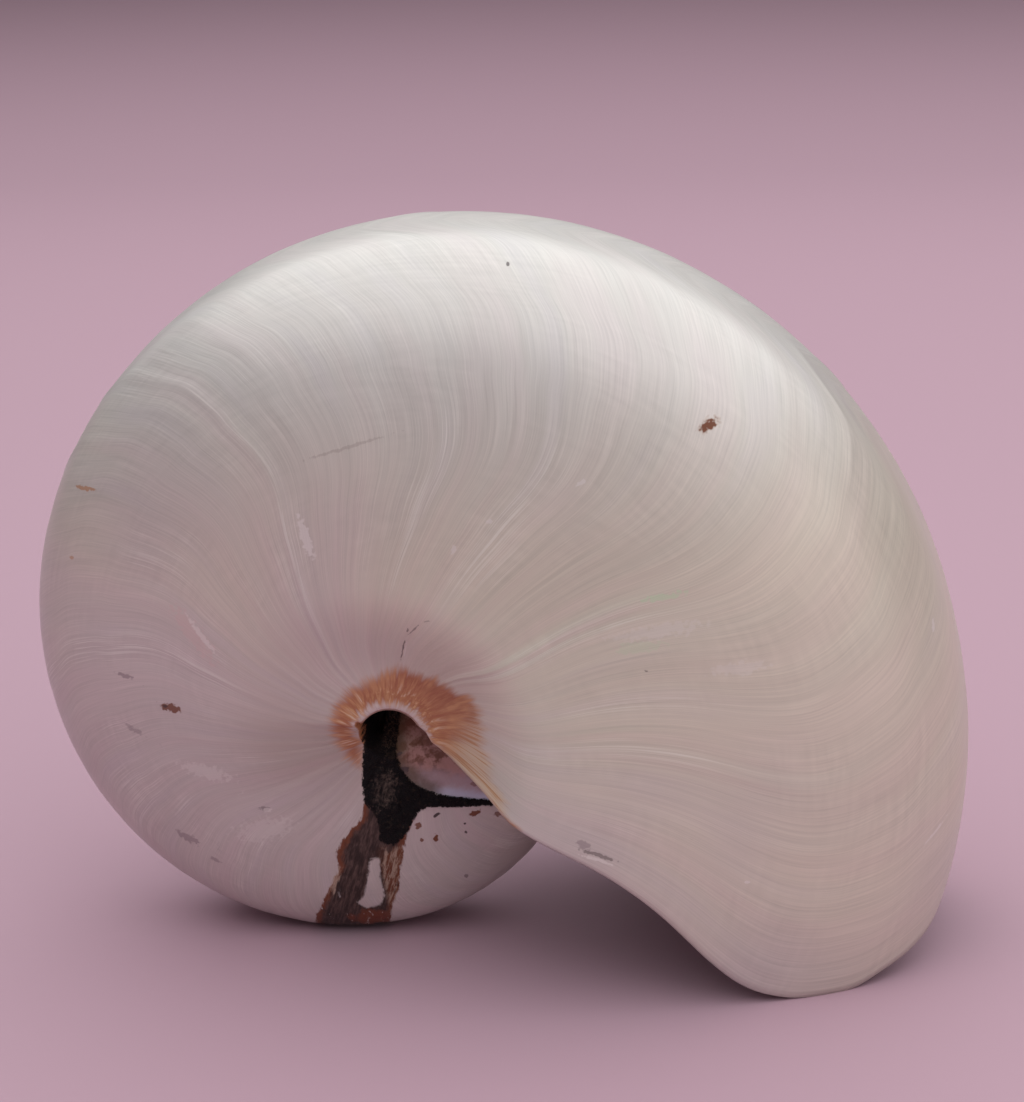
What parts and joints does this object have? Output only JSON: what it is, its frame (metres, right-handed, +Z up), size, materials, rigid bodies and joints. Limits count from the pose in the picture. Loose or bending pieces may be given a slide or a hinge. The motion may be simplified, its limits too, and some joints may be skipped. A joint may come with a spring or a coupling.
{
  "type": "nautilus shell",
  "caption": "Whole polished pearl nautilus shell, coiled and bilaterally even, open at the lip into its body chamber; it stands on its last whorl and on the lobes of its lip.",
  "frame": {"origin": "on the surface that the shell stands on, under the centre of its bounding box", "axes": "+X from the old end of the last whorl towards the rim above the lip, +Y across the shell, along its coiling axis, +Z up"},
  "size_m": [0.1484, 0.0734, 0.1167],
  "materials": {
    "pearl": "polished mother of pearl with fine growth lines, amber and black stains round the umbilicus"
  },
  "bodies": {
    "root": {"shell": "pearl"}
  },
  "joints": []
}
